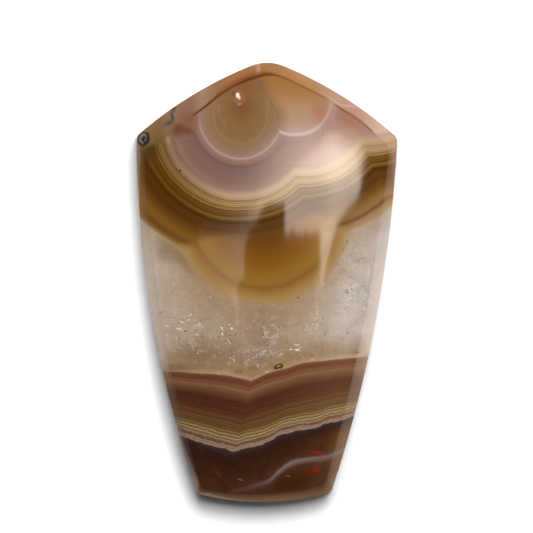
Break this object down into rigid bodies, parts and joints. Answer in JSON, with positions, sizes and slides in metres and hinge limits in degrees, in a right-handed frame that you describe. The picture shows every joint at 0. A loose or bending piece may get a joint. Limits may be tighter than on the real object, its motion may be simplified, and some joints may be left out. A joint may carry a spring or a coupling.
{
  "type": "laguna agate cabochon",
  "caption": "Polished shield-shaped banded agate cabochon with a low domed face, a bevelled edge and a flat back to rest on.",
  "frame": {"origin": "on the flat back, under the middle of the stone's box", "axes": "+Z out of the domed face, +Y towards the pointed end, +X towards the right shoulder as seen from the face"},
  "size_m": [0.0298, 0.05, 0.0062],
  "materials": {
    "agate": "high polish, banded chalcedony with a clear crackled quartz patch"
  },
  "bodies": {
    "root": {"agate": "agate"}
  },
  "joints": []
}
